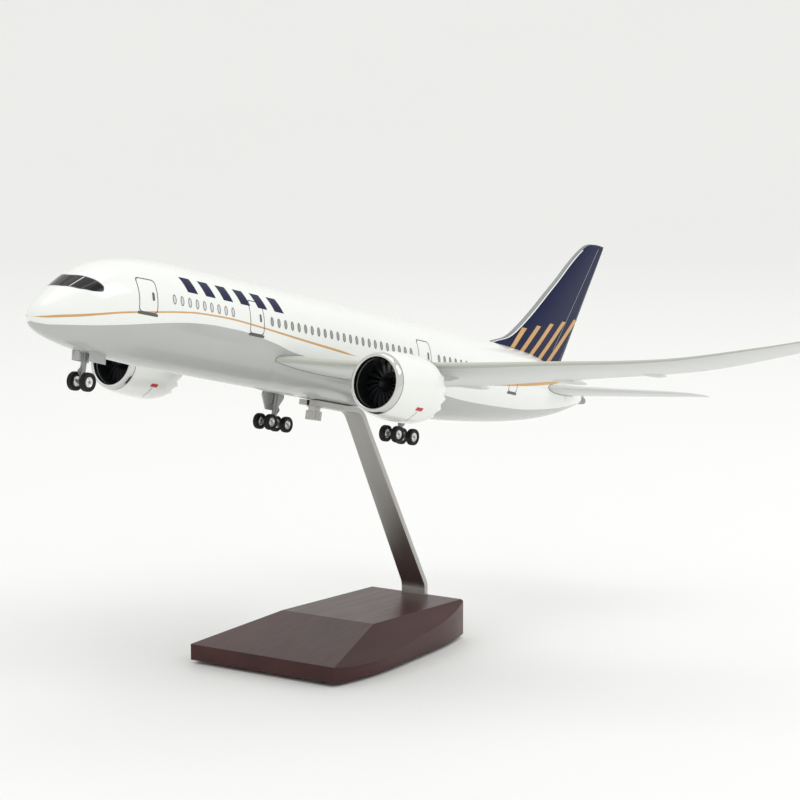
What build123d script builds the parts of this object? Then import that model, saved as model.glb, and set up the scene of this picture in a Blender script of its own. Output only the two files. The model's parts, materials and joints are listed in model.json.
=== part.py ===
from build123d import *
import math
import os

# A desk model of a twin-engine wide-body airliner on a bent metal strut and a wooden base.
# Lengths are millimetres. Aircraft sizes are given in metres of the full-size aircraft, times M.
# Model frame: origin at the middle of the base's underside, +X aft, +Y starboard, +Z up.
# Aircraft frame: origin at the nose station on the fuselage centre line, +X aft, +Y starboard.

SCALE = 130
M = 1000 / SCALE
PITCH = 12
NOSE_POSITION = (-204.5, 0, 186.0)
AIRCRAFT = Location(NOSE_POSITION, (0, PITCH, 0))

PORT = -1
STARBOARD = 1
SIDES = ((PORT, "port"), (STARBOARD, "starboard"))

# Fuselage stations: x, crown z, keel z, half width, in aircraft metres.
FUSELAGE_STATIONS = (
    (0.03, -1.22, -1.55, 0.15),
    (0.15, -0.95, -1.70, 0.36),
    (0.40, -0.62, -1.93, 0.64),
    (0.80, -0.22, -2.12, 0.93),
    (1.40, 0.30, -2.30, 1.28),
    (2.10, 0.86, -2.44, 1.63),
    (3.00, 1.52, -2.58, 2.02),
    (4.00, 2.08, -2.70, 2.33),
    (5.20, 2.46, -2.80, 2.56),
    (6.60, 2.73, -2.88, 2.73),
    (8.20, 2.89, -2.94, 2.83),
    (10.00, 2.97, -2.97, 2.885),
    (35.00, 2.97, -2.97, 2.885),
    (38.00, 2.97, -2.86, 2.84),
    (41.00, 2.95, -2.64, 2.72),
    (44.00, 2.90, -2.36, 2.50),
    (47.00, 2.78, -1.98, 2.17),
    (49.50, 2.48, -1.56, 1.76),
    (52.00, 1.92, -0.98, 1.24),
    (54.00, 1.30, -0.35, 0.72),
    (55.00, 0.92, 0.00, 0.42),
)
TAIL_CONE_STATIONS = ((55.00, 0.92, 0.00, 0.42), (55.60, 0.66, 0.08, 0.28), (55.95, 0.55, 0.10, 0.21))
CAVITY_START = 3
CAVITY_END = -3
WALL = 1.8
HALF_WIDTH = 2.885
HALF_HEIGHT = 2.97

# Belly fairing stations, ellipses about the centre line: x, half width, half height.
FAIRING_STATIONS = (
    (18.0, 2.89, 2.975),
    (20.5, 3.08, 3.00),
    (24.0, 3.20, 3.01),
    (29.0, 3.20, 3.01),
    (33.5, 2.89, 2.975),
)
FAIRING_TOP = -0.9
BELLY_LOW = 3.01

# Wing sections: span station, leading edge x, trailing edge x, height, thickness, aircraft metres.
WING_SECTIONS = (
    (2.0, 17.27, 31.5, -1.30, 0.95),
    (6.0, 20.07, 31.6, -1.05, 0.86),
    (10.5, 23.22, 31.8, -0.50, 0.82),
    (15.0, 26.37, 33.3, 0.28, 0.62),
    (20.4, 30.15, 35.25, 1.27, 0.44),
    (25.2, 33.60, 37.05, 2.74, 0.30),
    (27.6, 35.90, 38.05, 3.72, 0.20),
    (29.3, 37.75, 38.62, 4.46, 0.11),
    (30.06, 38.45, 38.85, 4.80, 0.06),
)
FIN_SECTIONS = (
    (1.6, 44.5, 51.90, 0.60),
    (2.9, 43.3, 52.47, 0.70),
    (3.5, 44.9, 52.75, 0.68),
    (4.42, 46.35, 53.16, 0.64),
    (7.65, 49.87, 54.60, 0.46),
    (10.8, 53.25, 56.02, 0.26),
    (11.32, 54.60, 56.20, 0.14),
)
TAILPLANE_SECTIONS = (
    (0.9, 47.24, 53.10, 0.46, 0.56),
    (5.0, 50.45, 54.45, 0.86, 0.40),
    (9.3, 53.82, 55.92, 1.29, 0.20),
    (9.9, 54.90, 56.09, 1.35, 0.08),
)
# Flap fairings: span station, middle x, height, half length, aircraft metres.
FLAP_FAIRINGS = ((7.4, 30.6, -0.92, 2.4), (13.2, 32.5, -0.04, 2.3), (18.2, 33.85, 0.86, 1.7))
FLAP_FAIRING_RADIUS = 0.24
EDGE_THICKNESS = 0.3
CHORD_SHARES = (0.0, 0.015, 0.06, 0.16, 0.35, 0.60, 0.82, 1.0)

SPAR_X = 22.6
SPAR_Z = -1.2
SPAR_RADIUS = 1.5
SPAR_HALF_LENGTH = 43.0

# Engine: nacelle axis and stations along it, aircraft metres.
ENGINE_Y = 9.90
ENGINE_Z = -2.16
LIP_FRONT = 17.54
LIP_BACK = 17.95
LIP_RADIUS = 1.545
NACELLE_END = 22.4
FAN_X = 18.75
FAN_RADIUS = 1.37
FAN_BLADES = 18
FAN_SHAFT_RADIUS = 0.9
CHEVRONS = 16
PYLON_WIDTH = 3.4

# Undercarriage: wheel centres in aircraft metres, wheel sizes in millimetres.
NOSE_GEAR = (4.55, 0.0, -4.31)
NOSE_TRACK = 3.52
NOSE_WHEEL_RADIUS = 4.05
MAIN_GEAR = (27.59, 4.87, -4.53)
MAIN_TRACK = 3.3
MAIN_WHEELBASE = 12.3
MAIN_WHEEL_RADIUS = 3.85
WHEEL_WIDTH = 2.7
HUB_RADIUS_SHARE = 0.56
AXLE_RADIUS = 0.6
AXLE_CLEARANCE = 0.05
LEG_RADIUS = 1.25
NOSE_SOCKET_TOP = -2.50
MAIN_SOCKET_TOP = -1.05
DOOR_THICKNESS = 0.8

# Stand. The strut's side profile is its centre line from the foot to the front of the tongue.
SCREW_X = 194.5
BELLY_GAP = 0.3
TONGUE_THICKNESS = 2.5
TONGUE_FRONT = 189.3
TONGUE_HALF_WIDTH = 5.3
STRUT_FOOT_X = 60.5
STRUT_FOOT_TOP = 24.0
STRUT_FOOT_LOW = 5.0
STRUT_FOOT_HALF_WIDTH = 7.0
BEND_X = 225.0
BEND_RADIUS = 8.0
SHANK_RADIUS = 2.0
FIT_CLEARANCE = 0.05
HEAD_RADIUS = 3.75
HEAD_HEIGHT = 4.3
KNURLS = 24
NECK_LENGTH = 1.6
WASHER_RADIUS = 3.6
WASHER_THICKNESS = 0.6
FAIRING_FLOOR = 2.2
INSERT_RADIUS = 3.4
INSERT_LENGTH = 9.0
BLOCK_LENGTH = 26.0
BLOCK_WIDTH = 14.0

BASE_BOTTOM = 1.5
BASE_TOP = 18.6
BASE_FRONT_TOP = 9.0
BASE_FRONT_X = -60.5
BASE_REAR_X = 61.75
RIDGE_X = -10.5
RIDGE_HALF_WIDTH = 27.2
FRONT_HALF_WIDTH = 42.25
REAR_HALF_WIDTH = 28.4
PAD_INSET = 7.0
STRUT_SCREW_HEIGHTS = (8.0, 13.5)
STRUT_SCREW_RADIUS = 1.5


def save(piece, name, place=Location()):
    """Write one finished piece as its own node."""
    placed = piece.moved(place)
    placed.label = name
    export_step(placed, f"parts/{name}.step")


def side_plane(y):
    """An upright plane along the aircraft at span y, local x aft and local y up."""
    return Plane(origin=(0, y, 0), x_dir=(1, 0, 0), z_dir=(0, -1, 0))


def largest(part):
    """Only the largest solid of a part, without trimmed-off slivers."""
    return Part() + part.solids().sort_by(SortBy.VOLUME)[-1]


def rod(start, end, radius):
    """A round bar between two points."""
    axis = Vector(*end) - Vector(*start)
    with BuildPart() as bar:
        with BuildSketch(Plane(origin=start, z_dir=axis)):
            Circle(radius)
        extrude(amount=axis.length)
    return bar.part


def fuselage_loft(stations, wall=0.0):
    """A body through upright ellipses, drawn in by the wall."""
    with BuildPart() as body:
        for x, crown, keel, half_width in stations:
            with BuildSketch(Plane.YZ.offset(x * M)):
                with Locations((0, (crown + keel) / 2 * M)):
                    Ellipse(half_width * M - wall, (crown - keel) / 2 * M - wall)
        loft(ruled=True)
    return body.part


def fairing_block():
    """The belly fairing's outer shape, level along its top edge."""
    with BuildPart() as body:
        for x, half_width, half_height in FAIRING_STATIONS:
            with BuildSketch(Plane.YZ.offset(x * M)):
                Ellipse(half_width * M, half_height * M)
        loft(ruled=True)
        split(bisect_by=Plane.XY.offset(FAIRING_TOP * M), keep=Keep.BOTTOM)
    return body.part


def metres(*points):
    """Profile points from aircraft metres to model millimetres."""
    return [(x * M, y * M) for x, y in points]


def half_depth(share, thickness):
    """Half the depth of an aerofoil at a share of its chord, after the classic four-digit form."""
    curve = 0.2969 * math.sqrt(share) - 0.126 * share - 0.3516 * share**2
    return 5 * thickness * (curve + 0.2843 * share**3 - 0.1015 * share**4)


def section(plane, front, back, height, thickness):
    """One aerofoil section with a rounded nose and a thin blunt tail."""
    chord = back - front
    blunt = min(EDGE_THICKNESS / M, thickness / 2) / 2
    upper = [(front + share * chord, half_depth(share, thickness) + share * blunt) for share in CHORD_SHARES]
    outline = [(x, height + depth) for x, depth in upper]
    outline += [(x, height - depth) for x, depth in reversed(upper[1:])]
    with BuildSketch(plane) as profile:
        with BuildLine():
            Polyline(*metres(*outline), close=True)
        make_face()
    return profile.sketch


def surface(side, sections):
    """A wing or tailplane through its span sections."""
    with BuildPart() as body:
        faces = [section(side_plane(side * y * M), *rest) for y, *rest in sections]
        loft(faces, ruled=True)
    return body.part


def fin_loft():
    """The fin through its level sections, a thin aerofoil about the centre plane."""
    with BuildPart() as body:
        levels = [section(Plane.XY.offset(z * M), front, back, 0, thick) for z, front, back, thick in FIN_SECTIONS]
        loft(levels, ruled=True)
    return body.part


def engine_axis(side):
    """The turning axis of one engine."""
    return Axis((0, side * ENGINE_Y * M, ENGINE_Z * M), (1, 0, 0))


def engine_plane(side):
    """The plane of an engine's profile, local x aft and local y the radius."""
    return Plane(origin=(0, side * ENGINE_Y * M, ENGINE_Z * M), x_dir=(1, 0, 0), z_dir=(0, -1, 0))


def inlet_lip(side):
    """The bright ring at the front of a nacelle."""
    front = (LIP_FRONT * M, LIP_RADIUS * M)
    outer_end, inner_end = metres((LIP_BACK, 1.76), (LIP_BACK, 1.42))
    with BuildPart() as lip:
        with BuildSketch(engine_plane(side)):
            with BuildLine():
                Spline(front, outer_end, tangents=[(0, 1), (1, 0.25)])
                Line(outer_end, inner_end)
                Spline(inner_end, front, tangents=[(-1, 0.05), (0, 1)])
            make_face()
        revolve(axis=engine_axis(side))
    return lip.part


def nacelle(side):
    """The hollow cowl of one engine with a notched rear edge."""
    outer = metres((LIP_BACK, 1.76), (19.3, 1.95), (20.8, 1.98), (NACELLE_END, 1.65))
    inner = metres((NACELLE_END, 1.58), (20.5, 1.50), (LIP_BACK, 1.42))
    notch_depth = 0.35 * M
    with BuildPart() as cowl:
        with BuildSketch(engine_plane(side)):
            with BuildLine():
                Spline(*outer)
                Line(outer[-1], inner[0])
                Spline(*inner)
                Line(inner[-1], outer[0])
            make_face()
        revolve(axis=engine_axis(side))
        for tooth in range(CHEVRONS):
            turn = Location((NACELLE_END * M, side * ENGINE_Y * M, ENGINE_Z * M), (360 / CHEVRONS * tooth, 0, 0))
            with BuildSketch(Plane(turn)):
                with Locations((0.01, 0)):
                    Triangle(a=3.2, b=notch_depth * 1.4, c=notch_depth * 1.4, rotation=90)
            extrude(amount=2.2 * M, mode=Mode.SUBTRACT)
    return cowl.part


def core_cowl(side):
    """The hot-section cowl with its exhaust cone and the stub shaft that carries the fan."""
    profile = metres(
        (19.15, 0.0), (19.15, 0.75), (20.4, 1.08), (21.8, 1.10), (23.1, 0.80), (23.1, 0.62), (24.25, 0.12), (24.25, 0.0)
    )
    shaft_length = (19.15 - FAN_X + 0.14) * M
    with BuildPart() as core:
        with BuildSketch(engine_plane(side)):
            with BuildLine():
                Polyline(*profile, close=True)
            make_face()
        revolve(axis=engine_axis(side))
        with BuildSketch(Plane(origin=(19.15 * M, side * ENGINE_Y * M, ENGINE_Z * M), z_dir=(-1, 0, 0))):
            Circle(FAN_SHAFT_RADIUS)
        extrude(amount=shaft_length)
    return core.part


def fan(side):
    """The fan: spinner, hub disc and twisted blades, bored for the stub shaft."""
    centre = (FAN_X * M, side * ENGINE_Y * M, ENGINE_Z * M)
    blade_length = (FAN_RADIUS - 0.40) * M
    with BuildPart() as rotor:
        with BuildSketch(engine_plane(side)):
            with BuildLine():
                tip, shoulder, rear = metres((18.05, 0.0), (FAN_X - 0.15, 0.44), (FAN_X + 0.17, 0.46))
                Spline(tip, shoulder, tangents=[(0.3, 1), (1, 0.12)])
                Line(shoulder, rear)
                Line(rear, (rear[0], 0))
                Line((rear[0], 0), tip)
            make_face()
        revolve(axis=engine_axis(side))
        for blade in range(FAN_BLADES):
            turn = Location(centre, (360 / FAN_BLADES * blade, 0, 0))
            with BuildSketch(Plane(turn).offset(0.40 * M)):
                Rectangle(2.3, 0.45, rotation=38)
            extrude(amount=blade_length)
        with BuildSketch(Plane(origin=(rear[0], centre[1], centre[2]), z_dir=(-1, 0, 0))):
            Circle(FAN_SHAFT_RADIUS + FIT_CLEARANCE)
        extrude(amount=0.33 * M, mode=Mode.SUBTRACT)
    return rotor.part


def pylon(side, wing, core):
    """The strut from the nacelle and core cowl up to the wing."""
    outline = metres(
        (19.5, -0.55), (20.6, -0.16), (22.9, -0.38), (26.4, -0.75), (24.6, -1.25), (22.9, -1.40), (20.3, -1.30)
    )
    with BuildPart() as strut:
        with BuildSketch(side_plane(side * ENGINE_Y * M)):
            with BuildLine():
                Polyline(*outline, close=True)
            make_face()
        extrude(amount=PYLON_WIDTH / 2, both=True)
        add(wing, mode=Mode.SUBTRACT)
        add(core, mode=Mode.SUBTRACT)
    return largest(strut.part)


def flap_fairings(side, wing):
    """Three slender fairings under the trailing edge of one wing."""
    group = []
    for y, x, z, half_length in FLAP_FAIRINGS:
        plane = Plane(origin=(x * M, side * y * M, z * M), x_dir=(1, 0, 0), z_dir=(0, -1, 0))
        width = FLAP_FAIRING_RADIUS * M
        with BuildPart() as canoe:
            with BuildSketch(plane):
                with BuildLine():
                    lens = Spline(
                        (-half_length * M, 0),
                        (0, width),
                        (half_length * M, 0),
                        tangents=[(1, 0.6), (1, -0.25)],
                    )
                    Line(lens @ 1, lens @ 0)
                make_face()
            revolve(axis=Axis(plane.origin, (1, 0, 0)))
            add(wing, mode=Mode.SUBTRACT)
        group.append(largest(canoe.part))
    return Part() + group


def tyre(centre, radius):
    """A rubber tyre with rounded shoulders, seated on its hub."""
    hub_radius = radius * HUB_RADIUS_SHARE
    middle = (radius + hub_radius) / 2
    with BuildPart() as ring:
        with BuildSketch(Plane(origin=centre, x_dir=(0, 1, 0), z_dir=(1, 0, 0))):
            with Locations((0, middle)):
                RectangleRounded(WHEEL_WIDTH, radius - hub_radius, 0.75)
        revolve(axis=Axis(centre, (0, 1, 0)))
    return ring.part


def hub(centre, radius):
    """A wheel hub with a dished outer face, bored for its axle."""
    with BuildPart() as disc:
        with BuildSketch(Plane(origin=centre, x_dir=(0, 1, 0), z_dir=(1, 0, 0))):
            with BuildLine():
                low = AXLE_RADIUS + AXLE_CLEARANCE
                high = radius * HUB_RADIUS_SHARE
                edge = WHEEL_WIDTH / 2 - 0.45
                Polyline((-edge, low), (-edge, high), (edge, high), (edge - 0.5, low + 0.5), (edge, low), close=True)
            make_face()
        revolve(axis=Axis(centre, (0, 1, 0)))
    return disc.part


def wheel(name, centre, radius):
    """Write the hub and tyre of one wheel."""
    save(hub(centre, radius), f"{name}_hub", AIRCRAFT)
    save(tyre(centre, radius), f"{name}_tyre", AIRCRAFT)


def plate(plane, points, thickness):
    """A flat door panel from its outline on a plane."""
    with BuildPart() as panel:
        with BuildSketch(plane):
            with BuildLine():
                Polyline(*points, close=True)
            make_face()
        extrude(amount=thickness / 2, both=True)
    return panel.part


def make_nose_gear(fuselage):
    """Leg with axle, doors and two wheels."""
    x, _, z = (value * M for value in NOSE_GEAR)
    socket_top = NOSE_SOCKET_TOP * M
    reach = NOSE_TRACK + WHEEL_WIDTH / 2 - 0.1
    with BuildPart() as leg:
        add(rod((x, 0, z), (x, 0, socket_top), LEG_RADIUS))
        add(rod((x, -reach, z), (x, reach, z), AXLE_RADIUS))
        add(rod((x, 0, z + 7.0), (x + 3.2, 0, -2.66 * M), 0.8))
        add(rod((x, 0, z + 1.6), (x - 2.6, 0, z + 4.2), 0.5))
        add(rod((x - 2.6, 0, z + 4.2), (x, 0, z + 6.8), 0.5))
        add(fuselage, mode=Mode.SUBTRACT)
        add(rod((x, 0, z), (x, 0, socket_top), LEG_RADIUS))
    save(leg.part, "nose_gear_leg", AIRCRAFT)
    rear = metres((4.20, -2.4), (5.46, -2.4), (5.56, -3.23), (4.30, -3.20))
    fore = metres((-0.14, -2.4), (0.14, -2.4), (0.23, -3.20), (-0.23, -3.20))
    panels = [(Plane.YZ.offset(3.95 * M), fore)]
    panels += [(side_plane(side * 0.62 * M), rear) for side, _ in SIDES]
    doors = []
    for plane, points in panels:
        with BuildPart() as door:
            add(plate(plane, points, DOOR_THICKNESS))
            add(fuselage, mode=Mode.SUBTRACT)
        doors.append(largest(door.part))
    save(Part() + doors, "nose_gear_doors", AIRCRAFT)
    for side, label in SIDES:
        wheel(f"nose_wheel_{label}", (x, side * NOSE_TRACK, z), NOSE_WHEEL_RADIUS)


def make_main_gear(side, label, wing):
    """Leg, truck beam with axles, door and four wheels of one main undercarriage."""
    x, y, z = (MAIN_GEAR[0] * M, side * MAIN_GEAR[1] * M, MAIN_GEAR[2] * M)
    socket_top = MAIN_SOCKET_TOP * M
    reach = MAIN_TRACK + WHEEL_WIDTH / 2 - 0.1
    with BuildPart() as leg:
        add(rod((x, y, z + 1.3), (x, y, socket_top), LEG_RADIUS))
        add(rod((x + 1.0, y, z + 3.6), (x + 3.2, y, z + 6.4), 0.5))
        add(rod((x + 3.2, y, z + 6.4), (x + 1.0, y, z + 9.2), 0.5))
    save(leg.part, f"main_gear_leg_{label}", AIRCRAFT)
    with BuildPart() as truck:
        with Locations((x, y, z)):
            Box(MAIN_WHEELBASE + 2.4, 1.7, 2.2)
        fillet(truck.edges().filter_by(Axis.Y), 0.9)
        for end in (-1, 1):
            axle_x = x + end * MAIN_WHEELBASE / 2
            add(rod((axle_x, y - reach, z), (axle_x, y + reach, z), AXLE_RADIUS))
        add(leg.part, mode=Mode.SUBTRACT)
    save(truck.part, f"main_gear_truck_{label}", AIRCRAFT)
    points = metres((26.75, -1.2), (28.55, -1.2), (28.75, -2.9), (28.1, -3.75), (27.1, -3.75), (26.6, -2.9))
    with BuildPart() as door:
        add(plate(side_plane(y + side * 2.6), points, DOOR_THICKNESS))
        with BuildSketch(side_plane(y + side * 1.2)):
            with Locations((x, z + 11.5)):
                Rectangle(2.2, 4.6)
        extrude(amount=-side * 1.1)
        add(leg.part, mode=Mode.SUBTRACT)
        add(wing, mode=Mode.SUBTRACT)
    save(largest(door.part), f"main_gear_door_{label}", AIRCRAFT)
    for end, place in ((-1, "front"), (1, "rear")):
        for row, position in ((-1, "inner"), (1, "outer")):
            centre = (x + end * MAIN_WHEELBASE / 2, y + row * side * MAIN_TRACK, z)
            wheel(f"main_wheel_{label}_{place}_{position}", centre, MAIN_WHEEL_RADIUS)


def base_outline(inset=0.0):
    """The plan of the base: straight front and rear, sides that bulge near the front."""
    front = BASE_FRONT_X + inset
    rear = BASE_REAR_X - inset
    with BuildSketch() as plan:
        with BuildLine():
            for side in (-1, 1):
                Spline(
                    (front, side * (FRONT_HALF_WIDTH - inset)),
                    (-27, side * (44.5 - inset)),
                    (8, side * (40.0 - inset)),
                    (39, side * (35.1 - inset)),
                    (rear, side * (REAR_HALF_WIDTH - inset)),
                )
            Line((front, -FRONT_HALF_WIDTH + inset), (front, FRONT_HALF_WIDTH - inset))
            Line((rear, -REAR_HALF_WIDTH + inset), (rear, REAR_HALF_WIDTH - inset))
        make_face()
    return plan.sketch


def base_block():
    """The wooden base: sloped front, level top, planar side facets, rear channel for the strut."""
    slope = math.atan2(BASE_TOP - BASE_FRONT_TOP, RIDGE_X - BASE_FRONT_X)
    drop = (BASE_TOP - BASE_FRONT_TOP) / (FRONT_HALF_WIDTH - RIDGE_HALF_WIDTH)
    front_up = (-math.sin(slope), 0, math.cos(slope))
    with BuildPart() as block:
        with BuildSketch(Plane.XY.offset(BASE_BOTTOM)):
            add(base_outline())
        extrude(amount=BASE_TOP - BASE_BOTTOM)
        split(bisect_by=Plane(origin=(RIDGE_X, 0, BASE_TOP), z_dir=front_up), keep=Keep.BOTTOM)
        for side in (-1, 1):
            facet = Plane(origin=(RIDGE_X, side * RIDGE_HALF_WIDTH, BASE_TOP), z_dir=(0, side * drop, 1))
            split(bisect_by=facet, keep=Keep.BOTTOM)
        channel_depth = BASE_REAR_X - STRUT_FOOT_X + TONGUE_THICKNESS / 2
        with Locations((BASE_REAR_X - channel_depth / 2, 0, (BASE_TOP + STRUT_FOOT_LOW) / 2)):
            Box(channel_depth, 2 * STRUT_FOOT_HALF_WIDTH + 0.2, BASE_TOP - STRUT_FOOT_LOW, mode=Mode.SUBTRACT)
        for height in STRUT_SCREW_HEIGHTS:
            add(strut_screw(height), mode=Mode.SUBTRACT)
    return block.part


def strut_screw(height):
    """One countersunk wood screw through the foot of the strut into the base."""
    head = BASE_REAR_X - 0.2
    with BuildPart() as screw:
        with BuildSketch(Plane.XZ):
            with BuildLine():
                Polyline(
                    (head, height),
                    (head, height + 2.6),
                    (head - 1.4, height + STRUT_SCREW_RADIUS),
                    (head - 12, height + STRUT_SCREW_RADIUS),
                    (head - 14, height),
                    close=True,
                )
            make_face()
        revolve(axis=Axis((0, 0, height), (1, 0, 0)))
    return screw.part


def tongue_point(x):
    """The model-frame side position of a point on the tongue's centre line, x in the aircraft frame."""
    z = -BELLY_LOW * M - BELLY_GAP - TONGUE_THICKNESS / 2
    place = AIRCRAFT * Location((x, 0, z))
    return (place.position.X, place.position.Z)


def strut():
    """The bent metal strut: foot, leaning shank, and a forked tongue along the belly."""
    front = tongue_point(TONGUE_FRONT)
    foot_low = (STRUT_FOOT_X, STRUT_FOOT_LOW)
    foot_top = (STRUT_FOOT_X, STRUT_FOOT_TOP)
    bend = tongue_point(BEND_X)
    with BuildPart() as metal:
        with BuildSketch(Plane.XZ):
            with BuildLine() as centre_line:
                FilletPolyline(foot_low, foot_top, bend, front, radius=BEND_RADIUS)
            trace(centre_line.line, line_width=TONGUE_THICKNESS)
        extrude(amount=STRUT_FOOT_HALF_WIDTH, both=True)
        with BuildSketch(Plane.YZ.offset(-60)):
            top = 150
            with BuildLine():
                Polyline(
                    (-STRUT_FOOT_HALF_WIDTH, 0),
                    (-STRUT_FOOT_HALF_WIDTH, STRUT_FOOT_TOP),
                    (-TONGUE_HALF_WIDTH, bend[1] - 10),
                    (-TONGUE_HALF_WIDTH, top),
                    (TONGUE_HALF_WIDTH, top),
                    (TONGUE_HALF_WIDTH, bend[1] - 10),
                    (STRUT_FOOT_HALF_WIDTH, STRUT_FOOT_TOP),
                    (STRUT_FOOT_HALF_WIDTH, 0),
                    close=True,
                )
            make_face()
        extrude(amount=140, mode=Mode.INTERSECT)
        for height in STRUT_SCREW_HEIGHTS:
            add(strut_screw(height), mode=Mode.SUBTRACT)
        with BuildSketch(Plane(AIRCRAFT * Location((SCREW_X, 0, -BELLY_LOW * M + 1)))):
            Circle(SHANK_RADIUS + 0.2)
            with Locations((-5, 0)):
                Rectangle(10, 1.6)
        extrude(amount=-8, mode=Mode.SUBTRACT)
    return metal.part



def screw_parts():
    """The knurled thumbscrew, its washer, the brass insert and the mounting block inside the belly."""
    belly = -BELLY_LOW * M
    tongue_low = belly - BELLY_GAP - TONGUE_THICKNESS
    washer_top = tongue_low - FIT_CLEARANCE
    head_top = washer_top - WASHER_THICKNESS - NECK_LENGTH
    block_low = belly + FAIRING_FLOOR
    screw_tip = block_low + INSERT_LENGTH - 0.5
    with BuildPart() as screw:
        with BuildSketch(Plane.XY.offset(head_top - HEAD_HEIGHT)):
            Circle(HEAD_RADIUS)
            with PolarLocations(HEAD_RADIUS, KNURLS):
                Circle(0.28, mode=Mode.SUBTRACT)
        extrude(amount=HEAD_HEIGHT)
        with BuildSketch(Plane.XY.offset(head_top)):
            Circle(SHANK_RADIUS + 0.8)
        extrude(amount=NECK_LENGTH - FIT_CLEARANCE)
        with BuildSketch(Plane.XY.offset(head_top)):
            Circle(SHANK_RADIUS)
        extrude(amount=screw_tip - head_top)
    with BuildPart() as washer:
        with BuildSketch(Plane.XY.offset(washer_top - WASHER_THICKNESS)):
            Circle(WASHER_RADIUS)
            Circle(SHANK_RADIUS + FIT_CLEARANCE, mode=Mode.SUBTRACT)
        extrude(amount=WASHER_THICKNESS)
    with BuildPart() as insert:
        with BuildSketch(Plane.XY.offset(block_low)):
            Circle(INSERT_RADIUS)
            Circle(SHANK_RADIUS + FIT_CLEARANCE, mode=Mode.SUBTRACT)
        extrude(amount=INSERT_LENGTH)
    with BuildPart() as block:
        with BuildSketch(Plane.XY.offset(block_low)):
            RectangleRounded(BLOCK_LENGTH, BLOCK_WIDTH, 2)
            Circle(INSERT_RADIUS, mode=Mode.SUBTRACT)
        extrude(amount=INSERT_LENGTH + 2)
    screw_place = AIRCRAFT * Location((SCREW_X, 0, 0))
    save(screw.part, "thumbscrew", screw_place)
    save(washer.part, "thumbscrew_washer", screw_place)
    save(insert.part, "threaded_insert", screw_place)
    save(block.part, "mounting_block", screw_place)


def make_stand():
    """Base, pad, strut and the strut's two screws."""
    save(base_block(), "base_block")
    with BuildPart() as pad:
        with BuildSketch(Plane.XY):
            add(base_outline(PAD_INSET))
        extrude(amount=BASE_BOTTOM)
    save(pad.part, "base_pad")
    save(strut(), "strut")
    screws = Part() + [strut_screw(height) for height in STRUT_SCREW_HEIGHTS]
    save(screws, "strut_screws")


def make_fuselage(outer, wing_spar):
    """Two hollow half shells, belly fairing and tail cone."""
    cavity = fuselage_loft(FUSELAGE_STATIONS[CAVITY_START:CAVITY_END], WALL)
    belly = fairing_block()
    length = (FAIRING_STATIONS[-1][0] - FAIRING_STATIONS[0][0]) * M
    fairing_low = Plane.XY.offset(-BELLY_LOW * M)
    x, _, z = (value * M for value in NOSE_GEAR)
    nose_socket = rod((x, 0, z), (x, 0, NOSE_SOCKET_TOP * M), LEG_RADIUS)
    for keep, label in ((Keep.TOP, "port"), (Keep.BOTTOM, "starboard")):
        with BuildPart() as shell:
            add(outer)
            add(cavity, mode=Mode.SUBTRACT)
            with Locations((FAIRING_STATIONS[0][0] * M, 0, FAIRING_TOP * M)):
                Box(length, 8 * M, 4 * M, align=(Align.MIN, Align.CENTER, Align.MAX), mode=Mode.SUBTRACT)
            add(nose_socket, mode=Mode.SUBTRACT)
            split(bisect_by=Plane.XZ, keep=keep)
        save(largest(shell.part), f"fuselage_{label}", AIRCRAFT)
    with BuildPart() as fairing:
        add(belly)
        add(cavity, mode=Mode.SUBTRACT)
        with BuildSketch(Plane.XY.offset(-BELLY_LOW * M + FAIRING_FLOOR)):
            with Locations((SCREW_X, 0)):
                RectangleRounded(BLOCK_LENGTH, BLOCK_WIDTH, 2)
        extrude(amount=6, mode=Mode.SUBTRACT)
        with BuildSketch(fairing_low.offset(-5)):
            with Locations((SCREW_X, 0)):
                Circle(SHANK_RADIUS + 0.2)
        extrude(amount=12, mode=Mode.SUBTRACT)
        add(wing_spar, mode=Mode.SUBTRACT)
    save(largest(fairing.part), "wing_body_fairing", AIRCRAFT)
    save(fuselage_loft(TAIL_CONE_STATIONS), "tail_cone", AIRCRAFT)
    return belly


def make_engine(side, label, wing):
    """Cowl, lip, fan, core and pylon of one engine."""
    core = core_cowl(side)
    mast = pylon(side, wing, core)
    with BuildPart() as cowl:
        add(nacelle(side))
        add(mast, mode=Mode.SUBTRACT)
        add(wing, mode=Mode.SUBTRACT)
    save(largest(cowl.part), f"nacelle_{label}", AIRCRAFT)
    save(inlet_lip(side), f"inlet_lip_{label}", AIRCRAFT)
    save(fan(side), f"fan_{label}", AIRCRAFT)
    save(core, f"core_cowl_{label}", AIRCRAFT)
    save(mast, f"pylon_{label}", AIRCRAFT)


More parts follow.
